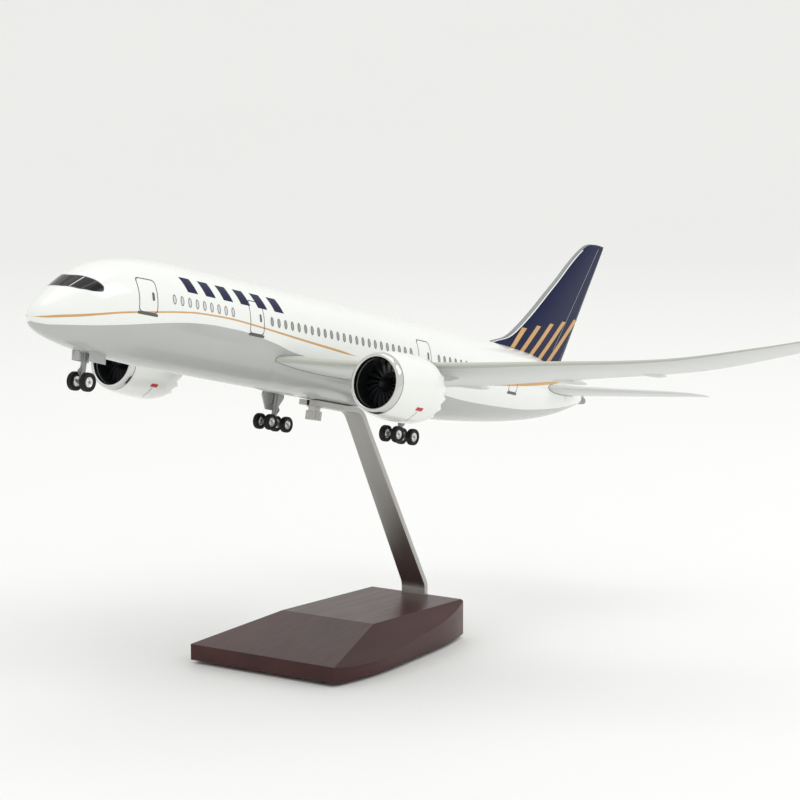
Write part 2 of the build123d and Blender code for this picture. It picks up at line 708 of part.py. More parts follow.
def make_aircraft():
    """Everything that the strut carries."""
    outer = fuselage_loft(FUSELAGE_STATIONS)
    spar_x, spar_z = (SPAR_X * M, SPAR_Z * M)
    spar = rod((spar_x, -SPAR_HALF_LENGTH, spar_z), (spar_x, SPAR_HALF_LENGTH, spar_z), SPAR_RADIUS)
    save(spar, "wing_spar", AIRCRAFT)
    belly = make_fuselage(outer, spar)
    for side, label in SIDES:
        full_wing = surface(side, WING_SECTIONS)
        gear_x, gear_y = (MAIN_GEAR[0] * M, side * MAIN_GEAR[1] * M)
        socket = rod((gear_x, gear_y, MAIN_GEAR[2] * M), (gear_x, gear_y, MAIN_SOCKET_TOP * M), LEG_RADIUS)
        with BuildPart() as wing:
            add(full_wing)
            add(belly, mode=Mode.SUBTRACT)
            add(outer, mode=Mode.SUBTRACT)
            add(spar, mode=Mode.SUBTRACT)
            add(socket, mode=Mode.SUBTRACT)
        save(largest(wing.part), f"wing_{label}", AIRCRAFT)
        save(flap_fairings(side, full_wing), f"flap_fairings_{label}", AIRCRAFT)
        make_engine(side, label, full_wing)
        make_main_gear(side, label, full_wing)
        with BuildPart() as tailplane:
            add(surface(side, TAILPLANE_SECTIONS))
            add(outer, mode=Mode.SUBTRACT)
        save(largest(tailplane.part), f"tailplane_{label}", AIRCRAFT)
    with BuildPart() as fin:
        add(fin_loft())
        add(outer, mode=Mode.SUBTRACT)
    save(largest(fin.part), "fin", AIRCRAFT)
    make_nose_gear(outer)
    screw_parts()


os.makedirs("parts", exist_ok=True)
make_stand()
make_aircraft()
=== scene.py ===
import json
import math

import bmesh
import bpy
from mathutils import Matrix, Vector


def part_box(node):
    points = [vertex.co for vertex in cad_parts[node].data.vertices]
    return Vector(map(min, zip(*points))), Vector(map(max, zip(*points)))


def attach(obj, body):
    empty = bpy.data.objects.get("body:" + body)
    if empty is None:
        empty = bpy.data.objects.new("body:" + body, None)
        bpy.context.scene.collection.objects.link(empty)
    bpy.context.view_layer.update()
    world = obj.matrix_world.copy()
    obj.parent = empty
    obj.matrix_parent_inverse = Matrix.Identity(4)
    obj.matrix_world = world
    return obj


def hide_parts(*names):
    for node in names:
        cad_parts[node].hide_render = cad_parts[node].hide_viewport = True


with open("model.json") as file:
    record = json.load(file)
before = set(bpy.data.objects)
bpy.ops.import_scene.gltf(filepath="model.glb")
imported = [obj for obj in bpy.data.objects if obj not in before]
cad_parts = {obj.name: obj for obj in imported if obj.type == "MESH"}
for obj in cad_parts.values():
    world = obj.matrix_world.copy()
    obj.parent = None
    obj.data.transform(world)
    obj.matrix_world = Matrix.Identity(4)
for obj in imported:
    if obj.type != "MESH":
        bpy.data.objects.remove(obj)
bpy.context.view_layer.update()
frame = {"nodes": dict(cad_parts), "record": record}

# Aircraft sizes are metres of the full-size aircraft; SCALE turns them into metres of the model.
# x runs aft from the nose, y to starboard and z up.
SCALE = 1 / 130
MM = 0.001
SIDES = ((-1, "port"), (1, "starboard"))
JOINTS = {joint["name"]: joint for joint in frame["record"]["behaviour"]["joints"]}
VIEW = Vector((0.80351, 0.58283, -0.12118))

# How far printed marks stand off the skin.
LIFT = 0.004

# Engines: axis place, stations along it, and (x, radius) curves of the cowl.
ENGINE_Y = 9.90
ENGINE_Z = -2.16
FAN_X = 18.75
SPINNER_X = 18.05
LIP_BACK = 17.95
LIP_LENGTH = 0.41
COWL_END = 22.4
COWL_OUTSIDE = ((17.95, 1.76), (18.5, 1.875), (19.3, 1.95), (20.8, 1.98), (21.7, 1.86), (22.4, 1.65))
COWL_INSIDE = ((17.95, 1.42), (19.2, 1.40), (20.5, 1.50), (22.4, 1.58))
CHEVRONS = 16
CHEVRON_DEPTH = 0.34
BLADES = 18
BLADE_ROOT = 0.42
BLADE_TIP = 1.36

# Fuselage: x, crown z, keel z, half width.
FUSELAGE = (
    (0.00, -1.38, -1.38, 0.00),
    (0.15, -0.93, -1.74, 0.40),
    (0.40, -0.60, -1.95, 0.69),
    (0.80, -0.22, -2.12, 1.00),
    (1.40, 0.30, -2.30, 1.35),
    (2.10, 0.86, -2.44, 1.70),
    (3.00, 1.52, -2.58, 2.06),
    (4.00, 2.08, -2.70, 2.36),
    (5.20, 2.46, -2.80, 2.58),
    (6.60, 2.73, -2.88, 2.74),
    (8.20, 2.89, -2.94, 2.84),
    (10.00, 2.97, -2.97, 2.885),
    (20.00, 2.97, -2.97, 2.885),
    (35.00, 2.97, -2.97, 2.885),
    (38.00, 2.97, -2.86, 2.84),
    (41.00, 2.95, -2.64, 2.72),
    (44.00, 2.90, -2.36, 2.50),
    (47.00, 2.78, -1.98, 2.17),
    (49.50, 2.48, -1.56, 1.76),
    (52.00, 1.92, -0.98, 1.24),
    (54.00, 1.30, -0.35, 0.72),
    (55.00, 0.92, 0.00, 0.42),
)
# Painted lines: x, height, half thickness.
GOLD_FRONT = (
    (0.0, -1.37, 0.0), (0.4, -1.30, 0.05), (1.03, -1.16, 0.07), (2.02, -0.96, 0.07), (3.09, -0.72, 0.06),
    (4.27, -0.46, 0.052), (5.38, -0.27, 0.048), (7.02, -0.03, 0.045), (8.61, 0.19, 0.045),
    (10.24, 0.35, 0.045), (12.9, 0.42, 0.048), (15.62, 0.32, 0.052), (19.33, 0.11, 0.06),
    (23.4, -0.10, 0.07), (25.1, -0.20, 0.0),
)
GOLD_REAR = (
    (40.4, -0.09, 0.0), (40.45, -0.08, 0.11), (43.1, 0.23, 0.14), (45.2, 0.50, 0.17), (48.0, 0.87, 0.155),
    (50.2, 1.15, 0.09), (51.6, 1.35, 0.0),
)
# Upper edge of the grey belly: x, height.
BELLY_LINE = (
    (0.0, -1.60), (0.18, -1.66), (0.52, -1.68), (1.17, -1.60), (3.28, -1.30), (5.78, -0.87), (7.18, -0.62),
    (8.67, -0.39), (10.31, -0.21), (12.08, -0.12), (13.83, -0.12), (15.7, -0.26), (17.6, -0.48),
    (18.87, -0.70), (24.0, -1.00), (33.0, -1.30), (38.0, -1.50), (44.0, -1.35), (50.0, -0.75), (55.0, 0.10),
)
# Belly fairing: x, middle height, half width, half height.
FAIRING = (
    (17.3, -1.10, 2.30, 1.20), (18.0, -1.18, 2.68, 1.36), (19.0, -1.32, 2.88, 1.50),
    (21.0, -1.46, 3.02, 1.55), (25.0, -1.49, 3.08, 1.53), (29.5, -1.48, 3.05, 1.53),
    (32.5, -1.38, 2.80, 1.48), (35.0, -1.12, 2.20, 1.28),
)
# Exhaust outlet at the tail: x, crown z, keel z, half width, out to the rim and back inside.
OUTLET = (
    (55.0, 0.92, 0.00, 0.42), (55.35, 0.79, 0.04, 0.36), (55.7, 0.66, 0.08, 0.29), (55.95, 0.56, 0.11, 0.22),
    (55.95, 0.50, 0.17, 0.16), (55.6, 0.46, 0.21, 0.12),
)
# Doors: first and last x, sill and top height. Window rows: first x, number, pitch, height.
DOORS = (
    (5.48, 6.86, -0.20, 1.66), (14.72, 16.02, -0.14, 1.75),
    (31.5, 32.9, -0.15, 1.69), (42.3, 43.45, -0.36, 1.50),
)
WINDOW_ROWS = ((8.16, 9, 0.6275, 0.82), (16.74, 23, 0.634, 0.77), (33.75, 13, 0.634, 0.74))
WINDOW_HALF_WIDTH = 0.145
WINDOW_HALF_HEIGHT = 0.27
# Lower and upper edge of the cockpit glass: degrees from the crown, x.
SILL_LINE = ((0.0, 1.65), (10.0, 1.67), (29.0, 1.90), (42.0, 2.14), (51.0, 2.46), (58.0, 2.76), (63.0, 3.16))
BROW_LINE = (
    (0.0, 2.58), (6.0, 2.60), (18.0, 2.74), (30.0, 2.92),
    (40.0, 3.12), (49.0, 3.28), (57.0, 3.38), (63.0, 3.30),
)
# Wing and tailplane: span, leading edge x, trailing edge x, height, thickness.
WING = (
    (2.0, 17.27, 31.5, -1.30, 0.95),
    (6.0, 20.07, 31.6, -1.05, 0.86),
    (10.5, 23.22, 31.8, -0.50, 0.82),
    (15.0, 26.37, 33.3, 0.28, 0.62),
    (20.4, 30.15, 35.25, 1.27, 0.44),
    (25.2, 33.60, 37.05, 2.74, 0.30),
    (27.6, 35.90, 38.05, 3.72, 0.20),
    (29.3, 37.75, 38.62, 4.46, 0.11),
    (30.06, 38.45, 38.85, 4.80, 0.05),
)
TAILPLANE = (
    (0.9, 47.24, 53.10, 0.46, 0.56),
    (5.0, 50.45, 54.45, 0.86, 0.40),
    (9.3, 53.82, 55.92, 1.29, 0.20),
    (9.9, 54.90, 56.09, 1.35, 0.08),
)
# Fin: height, leading edge x, trailing edge x, thickness.
FIN = (
    (1.6, 41.0, 51.90, 0.70),
    (2.9, 43.1, 52.47, 0.70),
    (3.5, 45.0, 52.75, 0.68),
    (4.42, 46.35, 53.16, 0.64),
    (7.65, 49.87, 54.60, 0.46),
    (10.8, 53.25, 56.02, 0.26),
    (11.2, 54.05, 56.18, 0.18),
    (11.34, 55.1, 56.20, 0.10),
)


def aircraft_place():
    """Where aircraft metres lie in the model, from the turning axes of the two fans."""
    port, starboard = (JOINTS[f"fan_{name}_spin"] for _, name in SIDES)
    aft = Vector(port["axis"]).normalized()
    across = Vector((0, 1, 0))
    up = aft.cross(across)
    middle = (Vector(port["pos_m"]) + Vector(starboard["pos_m"])) / 2
    origin = middle - aft * FAN_X * SCALE - up * ENGINE_Z * SCALE
    turned = Matrix((aft, across, up)).transposed().to_4x4()
    return Matrix.Translation(origin) @ turned @ Matrix.Scale(SCALE, 4)


AIRCRAFT = aircraft_place()


def curve(points):
    """A smooth curve through (x, value) points that never overshoots them."""
    xs = [point[0] for point in points]
    ys = [point[1] for point in points]
    steps = [(ys[i + 1] - ys[i]) / (xs[i + 1] - xs[i]) for i in range(len(xs) - 1)]
    slopes = [steps[0]]
    for before, after in zip(steps, steps[1:]):
        slopes.append(2 * before * after / (before + after) if before * after > 0 else 0.0)
    slopes.append(steps[-1])

    def value(x):
        x = min(max(x, xs[0]), xs[-1])
        i = max(j for j in range(len(xs) - 1) if xs[j] <= x)
        width = xs[i + 1] - xs[i]
        t = (x - xs[i]) / width
        low = ys[i] * (1 + 2 * t) * (1 - t) ** 2 + slopes[i] * width * t * (1 - t) ** 2
        high = ys[i + 1] * t * t * (3 - 2 * t) + slopes[i + 1] * width * t * t * (t - 1)
        return low + high

    return value


def columns(table, key=lambda x: x):
    """One smooth curve for each column of a table after the first."""
    return [curve([(key(row[0]), row[i]) for row in table]) for i in range(1, len(table[0]))]


CROWN, KEEL, HALF_WIDTH = columns(FUSELAGE, math.sqrt)
BELLY_EDGE = curve(BELLY_LINE)
GLASS_SILL = curve(SILL_LINE)
GLASS_BROW = curve(BROW_LINE)
COWL_RADIUS = curve(COWL_OUTSIDE)
DUCT_RADIUS = curve(COWL_INSIDE)
FIN_FRONT, FIN_BACK, FIN_THICK = columns(FIN)


def body_section(x):
    """Middle height, half height and half width of the fuselage at x."""
    u = math.sqrt(max(x, 0.0))
    crown, keel = CROWN(u), KEEL(u)
    return (crown + keel) / 2, (crown - keel) / 2, HALF_WIDTH(u)


def skin_point(x, angle, side=-1, lift=0.0):
    """A point on the fuselage, its angle measured from the crown, lifted off along the section."""
    middle, tall, half = body_section(x)
    return Vector((x, side * (half + lift) * math.sin(angle), middle + (tall + lift) * math.cos(angle)))


def skin_angle(x, z):
    """The angle from the crown at which the fuselage has height z."""
    middle, tall, _ = body_section(x)
    return math.acos(max(-1.0, min(1.0, (z - middle) / max(tall, 1e-6))))


# ---------------------------------------------------------------- materials

BROAD_SHARE = 0.11
RELIEF = 0.2 * MM


def shaded(name, colour, roughness, metallic=0.0, coat=0.0, grain=260.0, stretch=(1, 1, 1), tint=0.04,
           spread=0.06, bump=0.03, detail=4.0, ior=1.5):
    """A finish with fine variation of colour, roughness and height from stretched noise."""
    material = bpy.data.materials.new(name)
    material.use_nodes = True
    tree = material.node_tree
    link = tree.links.new
    shader = tree.nodes["Principled BSDF"]
    shader.inputs["Metallic"].default_value = metallic
    shader.inputs["Coat Weight"].default_value = coat
    shader.inputs["Coat Roughness"].default_value = 0.05
    shader.inputs["IOR"].default_value = ior
    place = tree.nodes.new("ShaderNodeTexCoord")
    mapping = tree.nodes.new("ShaderNodeMapping")
    mapping.inputs["Scale"].default_value = stretch
    link(place.outputs["Object"], mapping.inputs["Vector"])
    noise = tree.nodes.new("ShaderNodeTexNoise")
    noise.inputs["Scale"].default_value = grain
    noise.inputs["Detail"].default_value = detail
    link(mapping.outputs["Vector"], noise.inputs["Vector"])
    broad = tree.nodes.new("ShaderNodeTexNoise")
    broad.inputs["Scale"].default_value = grain * BROAD_SHARE
    broad.inputs["Detail"].default_value = 2.0
    link(mapping.outputs["Vector"], broad.inputs["Vector"])
    ramp = tree.nodes.new("ShaderNodeValToRGB")
    ramp.color_ramp.elements[0].position = 0.3
    ramp.color_ramp.elements[1].position = 0.7
    ramp.color_ramp.elements[0].color = [c * (1 - tint) for c in colour] + [1]
    ramp.color_ramp.elements[1].color = [min(1.0, c * (1 + tint)) for c in colour] + [1]
    link(broad.outputs["Fac"], ramp.inputs["Fac"])
    link(ramp.outputs["Color"], shader.inputs["Base Color"])
    polish = tree.nodes.new("ShaderNodeMapRange")
    polish.inputs["To Min"].default_value = max(0.02, roughness - spread)
    polish.inputs["To Max"].default_value = roughness + spread
    link(noise.outputs["Fac"], polish.inputs["Value"])
    link(polish.outputs["Result"], shader.inputs["Roughness"])
    if bump == 0.0:
        return material
    relief = tree.nodes.new("ShaderNodeBump")
    relief.inputs["Strength"].default_value = bump
    relief.inputs["Distance"].default_value = RELIEF
    link(noise.outputs["Fac"], relief.inputs["Height"])
    link(relief.outputs["Normal"], shader.inputs["Normal"])
    return material


def printed(name, colour, roughness=0.40, tint=0.08, ior=1.5):
    """The finish of a thin printed or painted mark."""
    return shaded(name, colour, roughness, grain=900, tint=tint, spread=0.05, bump=0.01, ior=ior)


def gloss(name, colour, roughness, coat, tint, spread):
    """Polished airframe paint."""
    return shaded(name, colour, roughness, coat=coat, grain=700, tint=tint, spread=spread, bump=0.012)


def satin(name, colour, roughness):
    """Even wing paint with a broad, faint variation."""
    return shaded(name, colour, roughness, grain=120, tint=0.006, spread=0.008, bump=0.0, detail=1.0)


def metal(name, colour, roughness):
    """Bare turned or rolled metal."""
    return shaded(name, colour, roughness, metallic=1.0, grain=900, tint=0.06, spread=0.08, bump=0.05)


def cherry():
    """Dark cherry veneer under a satin varnish, grain along the base."""
    material = shaded(
        "cherry_wood", (0.050, 0.0145, 0.0140), 0.34, coat=0.05, ior=1.33, grain=330, stretch=(0.10, 1, 1),
        tint=0.30, spread=0.08, bump=0.10, detail=6.0,
    )
    material.node_tree.nodes["Principled BSDF"].inputs["Coat Roughness"].default_value = 0.28
    return material


WHITE = gloss("gloss_white", (0.86, 0.87, 0.845), 0.16, coat=0.4, tint=0.008, spread=0.03)
GREY = gloss("gloss_grey", (0.47, 0.485, 0.47), 0.22, coat=0.2, tint=0.01, spread=0.04)
WING_GREY = satin("wing_grey", (0.62, 0.635, 0.62), 0.29)
EDGE_GREY = satin("edge_grey", (0.47, 0.48, 0.43), 0.30)
GOLD = shaded("gold_paint", (0.62, 0.36, 0.15), 0.30, ior=1.35, grain=900, tint=0.05, spread=0.05, bump=0.015)
NAVY = shaded(
    "navy_paint", (0.006, 0.010, 0.050), 0.16, ior=1.24, grain=800, tint=0.08, spread=0.03, bump=0.012
)
SILVER = shaded(
    "silver_paint", (0.24, 0.25, 0.255), 0.30, metallic=0.3, grain=900, tint=0.04, spread=0.05, bump=0.02
)
GLAZING = shaded(
    "cockpit_black", (0.010, 0.011, 0.012), 0.10, ior=1.30, grain=500, tint=0.10, spread=0.04, bump=0.01
)
OUTLINE = printed("outline_grey", (0.13, 0.13, 0.13), ior=1.3)
PANE = printed("window_fill", (0.66, 0.66, 0.65), 0.25, tint=0.03)
DARK_PANE = printed("dark_window_fill", (0.34, 0.34, 0.33), 0.25, tint=0.06)
POST = printed("window_post", (0.07, 0.07, 0.072), 0.25, tint=0.06)
SEAM = printed("seam_grey", (0.20, 0.20, 0.195), 0.45, ior=1.3)
SILL = printed("sill_grey", (0.09, 0.09, 0.09))
RED = printed("red_mark", (0.52, 0.05, 0.055), 0.35, ior=1.35)
CHROME = shaded(
    "polished_lip", (0.63, 0.63, 0.62), 0.12, metallic=1.0, grain=300, tint=0.02, spread=0.015, bump=0.0
)
INTAKE = shaded(
    "intake_black", (0.008, 0.010, 0.010), 0.30, ior=1.3, grain=700, tint=0.15, spread=0.06, bump=0.02
)
FAN_METAL = shaded(
    "fan_dark", (0.007, 0.0075, 0.009), 0.35, ior=1.25, grain=900, tint=0.15, spread=0.06, bump=0.03
)
EXHAUST = shaded(
    "exhaust_grey", (0.30, 0.29, 0.275), 0.36, metallic=0.7, grain=700, tint=0.06, spread=0.08, bump=0.04
)
GEAR_GREY = shaded(
    "gear_grey", (0.30, 0.305, 0.30), 0.34, metallic=0.6, grain=1100, tint=0.08, spread=0.08, bump=0.06
)
DOOR_GREY = shaded(
    "gear_door_grey", (0.42, 0.43, 0.42), 0.36, metallic=0.2, grain=900, tint=0.05, spread=0.06, bump=0.04
)
HUB_METAL = shaded(
    "hub_silver", (0.74, 0.73, 0.71), 0.22, metallic=0.9, grain=1300, tint=0.06, spread=0.08, bump=0.06
)
TYRE = shaded(
    "tyre_rubber", (0.008, 0.008, 0.008), 0.50, ior=1.3, grain=1500, tint=0.25, spread=0.10, bump=0.20
)
STRUT = shaded(
    "brushed_strut", (0.43, 0.42, 0.40), 0.36, metallic=1.0, grain=900, stretch=(0.12, 1, 0.05), tint=0.07,
    spread=0.10, bump=0.10,
)
KNURLED = metal("nickel_screw", (0.50, 0.49, 0.46), 0.28)
STEEL = metal("plain_steel", (0.45, 0.45, 0.45), 0.35)
BRASS = metal("turned_brass", (0.62, 0.42, 0.16), 0.30)
PLASTIC = shaded("moulded_plastic", (0.55, 0.55, 0.53), 0.50, grain=900, tint=0.03, spread=0.06, bump=0.06)
PAD = shaded("black_pad", (0.015, 0.015, 0.015), 0.75, grain=1500, tint=0.25, spread=0.10, bump=0.25)
WOOD = cherry()


# ---------------------------------------------------------------- mesh helpers

SAME_PLACE = 1e-7
NO_LENGTH = 1e-8


def piece(name, points, faces, materials, body, zones=None, place=AIRCRAFT):
    """A smooth mesh piece that rides on a body; zones give each face's material."""
    mesh = bpy.data.meshes.new(name)
    mesh.from_pydata([tuple(place @ point) for point in points], [], faces)
    for material in materials:
        mesh.materials.append(material)
    for index, polygon in enumerate(mesh.polygons):
        polygon.use_smooth = True
        polygon.material_index = zones[index] if zones else 0
    build = bmesh.new()
    build.from_mesh(mesh)
    bmesh.ops.remove_doubles(build, verts=build.verts, dist=SAME_PLACE)
    bmesh.ops.dissolve_degenerate(build, edges=build.edges, dist=NO_LENGTH)
    bmesh.ops.recalc_face_normals(build, faces=build.faces)
    build.to_mesh(mesh)
    build.free()
    thing = bpy.data.objects.new(name, mesh)
    bpy.context.scene.collection.objects.link(thing)
    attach(thing, body)
    return thing


def grid(rows, closed=False):
    """Points and quads of a grid; closed joins each row's last point to its first."""
    points = [point for row in rows for point in row]
    width = len(rows[0])
    faces = []
    for r in range(len(rows) - 1):
        for c in range(width if closed else width - 1):
            d = (c + 1) % width
            faces.append((r * width + c, r * width + d, (r + 1) * width + d, (r + 1) * width + c))
    return points, faces


def joined(parts):
    """Several (points, faces) lists as one, with a zone number for each part's faces."""
    points, faces, zones = [], [], []
    for zone, (some_points, some_faces) in parts:
        start = len(points)
        points += some_points
        faces += [tuple(start + i for i in face) for face in some_faces]
        zones += [zone] * len(some_faces)
    return points, faces, zones


def share(count, low, high):
    """Evenly spaced values from low to high."""
    return [low + (high - low) * i / (count - 1) for i in range(count)]


def turns(count):
    """The angles of a full circle in equal steps."""
    return share(count + 1, 0, math.tau)[:-1]


# ---------------------------------------------------------------- fuselage

GOLD_BANDS = [(table[0][0], table[-1][0], *columns(table)) for table in (GOLD_FRONT, GOLD_REAR)]


# Steps round each painted zone from crown to keel, and the zone's material.
ZONE_STEPS = (26, 3, 6, 18)
ZONE_PAINTS = (0, 1, 0, 2)
LEAST_ANGLE = 0.002
BODY_END = 55.0


def zone_angles(x):
    """The angles where the paint changes at x: crown, gold top, gold bottom, belly line, keel."""
    belly = skin_angle(x, BELLY_EDGE(x))
    top = bottom = belly * 0.8
    for start, end, height, half in GOLD_BANDS:
        if start <= x <= end:
            top = skin_angle(x, height(x) + half(x))
            bottom = skin_angle(x, height(x) - half(x))
    return [0.0, top, bottom, max(belly, bottom + LEAST_ANGLE), math.pi]


def fuselage_half(side, name):
    """One glossy half shell: white, gold line, white, grey belly, split along exact paint edges."""
    stations = [root**2 for root in share(130, 0.0, math.sqrt(BODY_END))]
    stations += [row[0] + nudge for row in (GOLD_FRONT[-1], *GOLD_REAR[:2]) for nudge in (0.0, 1e-3)]
    stations += share(60, 24.0, 50.0)
    rows = []
    for x in sorted(set(stations)):
        bounds = zone_angles(x)
        row = []
        for low, high, count in zip(bounds, bounds[1:], ZONE_STEPS):
            row += [skin_point(x, low + (high - low) * i / count, side) for i in range(count)]
        row.append(skin_point(x, math.pi, side))
        rows.append(row)
    points, faces = grid(rows)
    ring_of_paints = [paint for paint, count in zip(ZONE_PAINTS, ZONE_STEPS) for _ in range(count)]
    zones = ring_of_paints * (len(rows) - 1)
    paints = [WHITE, GOLD, GREY]
    shell = piece(f"fuselage_skin_{name}", points, faces, paints, "aircraft", zones)
    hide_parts(f"fuselage_{name}")


def at_height(x, z, side, lift=LIFT):
    """A point just off the fuselage skin at height z."""
    return skin_point(x, skin_angle(x, z), side, lift)


def rounded(x0, x1, z0, z1, radius, steps=6):
    """The outline of a rounded rectangle as (x, z) points."""
    outline = []
    corners = ((x1 - radius, z1 - radius, 0), (x0 + radius, z1 - radius, 90),
               (x0 + radius, z0 + radius, 180), (x1 - radius, z0 + radius, 270))
    for cx, cz, start in corners:
        for i in range(steps + 1):
            turn = math.radians(start + 90 * i / steps)
            outline.append((cx + radius * math.cos(turn), cz + radius * math.sin(turn)))
    return outline


def dense(outline, spacing=0.12):
    """A closed outline with extra points along its long straight runs."""
    result = []
    for (x0, z0), (x1, z1) in zip(outline, outline[1:] + outline[:1]):
        count = max(1, round(math.hypot(x1 - x0, z1 - z0) / spacing))
        result += [(x0 + (x1 - x0) * i / count, z0 + (z1 - z0) * i / count) for i in range(count)]
    return result


def middle_of(outline):
    """The mean of an outline's points."""
    return sum(x for x, _ in outline) / len(outline), sum(z for _, z in outline) / len(outline)


def ring(outline, width, side, lift=LIFT):
    """A line of a given width along a closed outline on the fuselage."""
    cx, cz = middle_of(outline)
    wide = max(abs(x - cx) for x, _ in outline)
    high = max(abs(z - cz) for _, z in outline)
    inner = [(cx + (x - cx) * (1 - width / wide), cz + (z - cz) * (1 - width / high)) for x, z in outline]
    rows = [[at_height(x, z, side, lift) for x, z in line] for line in (outline, inner)]
    return grid(rows, closed=True)


def fill(outline, side, lift=LIFT):
    """A filled shape on the fuselage, as rings that close on its middle."""
    cx, cz = middle_of(outline)
    rows = []
    for size in (1.0, 0.66, 0.33, 0.0):
        rows.append([at_height(cx + (x - cx) * size, cz + (z - cz) * size, side, lift) for x, z in outline])
    return grid(rows, closed=True)


DOOR_CORNER = 0.22
DOOR_LINE = 0.055
WINDOW_LINE = 0.052
OVAL = [(WINDOW_HALF_WIDTH * math.cos(t), WINDOW_HALF_HEIGHT * math.sin(t)) for t in turns(20)]


def decals(side, name):
    """Printed windows, doors and sills on one side of the fuselage."""
    lines, fills, sills = [], [], []
    for x0, x1, z0, z1 in DOORS:
        door = dense(rounded(x0, x1, z0, z1, DOOR_CORNER))
        sill = dense(rounded(x0 - 0.05, x1 + 0.05, z0 - 0.13, z0 + 0.02, 0.05))
        handle = dense(rounded(x1 - 0.42, x1 - 0.24, z1 - 1.15, z1 - 0.70, 0.06))
        lines.append((0, ring(door, DOOR_LINE, side)))
        lines.append((0, fill(handle, side)))
        sills.append((0, fill(sill, side, LIFT * 2)))
    for row, (start, count, pitch, height) in enumerate(WINDOW_ROWS):
        for i in range(count):
            oval = [(start + pitch * i + dx, height + dz) for dx, dz in OVAL]
            lines.append((0, ring(oval, WINDOW_LINE, side, LIFT * 1.6)))
            fills.append((2 if row else 1, fill(oval, side)))
    points, faces, zones = joined(lines + fills)
    paints = [OUTLINE, PANE, DARK_PANE]
    piece(f"doors_and_windows_{name}", points, faces, paints, "aircraft", zones)
    points, faces, zones = joined(sills)
    piece(f"door_sills_{name}", points, faces, [SILL], "aircraft", zones)


def glass(start, end, low, high, side, lift, steps=16):
    """Part of the cockpit band between two angles and two shares of its height."""
    rows = []
    for angle in share(steps + 1, start, end):
        sill, brow = GLASS_SILL(angle), GLASS_BROW(angle)
        xs = [sill + (brow - sill) * (low + (high - low) * i / 8) for i in range(9)]
        rows.append([skin_point(x, math.radians(angle), side, lift) for x in xs])
    return grid(rows)


GLASS_END = 63.0
PANES = ((1.2, 25.0), (27.6, 43.5), (45.0, 61.0))
# The post between the first and second panes is gloss white: a painted highlight standing in for a glint on
# the glass.
POST_WITH_PAINTED_GLINT = (25.6, 26.9)


def cockpit(side, name):
    """Dark cockpit band with separate panes; on each side one post is gloss white, a painted highlight for a
    glint on the glass.
    """
    parts = [(0, glass(0.0, GLASS_END, 0.0, 1.0, side, LIFT, 48))]
    for start, end in PANES:
        parts.append((1, glass(start, end, 0.07, 0.93, side, LIFT * 2)))
    # Painted highlight: this one post takes gloss white in place of the dark post colour.
    parts.append((2, glass(*POST_WITH_PAINTED_GLINT, 0.05, 0.92, side, LIFT * 2.5)))
    points, faces, zones = joined(parts)
    paints = [POST, GLAZING, WHITE]
    piece(f"cockpit_glazing_{name}", points, faces, paints, "aircraft", zones)


# Root seams: surface, a first guess of its root's y, bead radius.
SEAMS = ((WING, 2.95, 0.022), (TAILPLANE, 1.60, 0.030))
SETTLING_STEPS = 6


def root_seams(side, name):
    """Dark joint lines where the wing and the tailplane meet the body."""
    centre, half, high = columns(FAIRING)

    def body_y(x, z):
        reach = 1 - ((z - centre(x)) / high(x)) ** 2
        beside = half(x) * math.sqrt(max(reach, 0.0)) if FAIRING[0][0] < x < FAIRING[-1][0] else 0.0
        middle, tall, wide = body_section(x)
        return max(beside, wide * math.sqrt(max(1 - ((z - middle) / tall) ** 2, 0.0)))

    above = [(0.16 * (1 - i / 12) ** 2, 1) for i in range(12)]
    below = [(0.92 * (i / 40) ** 2, -1) for i in range(41)]
    parts = []
    for table, start, bead in SEAMS:
        front, back, height, thick = columns(table)
        line = []
        for s, way in above + below:
            y = start
            for _ in range(SETTLING_STEPS):
                x = front(y) + s * (back(y) - front(y))
                z = height(y) + way * depth(s, thick(y))
                y = body_y(x, z)
            line.append(Vector((x, side * y, z)))
        parts.append((0, bead_along(line, bead)))
    points, faces, zones = joined(parts)
    piece(f"root_seams_{name}", points, faces, [SEAM], "aircraft", zones)


def bead_along(line, radius):
    """A thin round bead along a line of points."""
    rows = []
    for i, point in enumerate(line):
        along = (line[min(i + 1, len(line) - 1)] - line[max(i - 1, 0)]).normalized()
        side_way = along.cross(Vector((0, 0, 1))).normalized()
        up_way = side_way.cross(along)
        rows.append([point + radius * (side_way * math.cos(t) + up_way * math.sin(t)) for t in turns(8)])
    return grid(rows, closed=True)


BAR_COUNT = 6
BAR_START = 9.4
BAR_PITCH = 1.55
BAR_WIDTH = 0.85
BAR_LEAN = 0.30
BAR_LOW = 1.40
BAR_HIGH = 2.18


def livery_bars(side, name):
    """A plain livery accent: slanted navy bars along the upper fuselage."""
    bars = []
    for i in range(BAR_COUNT):
        x = BAR_START + BAR_PITCH * i
        low = [(x, BAR_LOW), (x + BAR_WIDTH, BAR_LOW)]
        corners = low + [(x + BAR_WIDTH - BAR_LEAN, BAR_HIGH), (x - BAR_LEAN, BAR_HIGH)]
        bars.append((0, fill(dense(corners), side, LIFT * 1.3)))
    points, faces, zones = joined(bars)
    piece(f"livery_bars_{name}", points, faces, [NAVY], "aircraft", zones)


def fairing():
    """The belly fairing that carries the wing roots."""
    centre, half, high = columns(FAIRING)
    rows = []
    for x in share(70, FAIRING[0][0], FAIRING[-1][0]):
        wide, tall, middle = half(x), high(x), centre(x)
        rows.append([Vector((x, wide * math.sin(t), middle + tall * math.cos(t))) for t in turns(72)])
    points, faces = grid(rows, closed=True)
    shell = piece("belly_fairing_skin", points, faces, [GREY], "aircraft")
    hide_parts("wing_body_fairing")


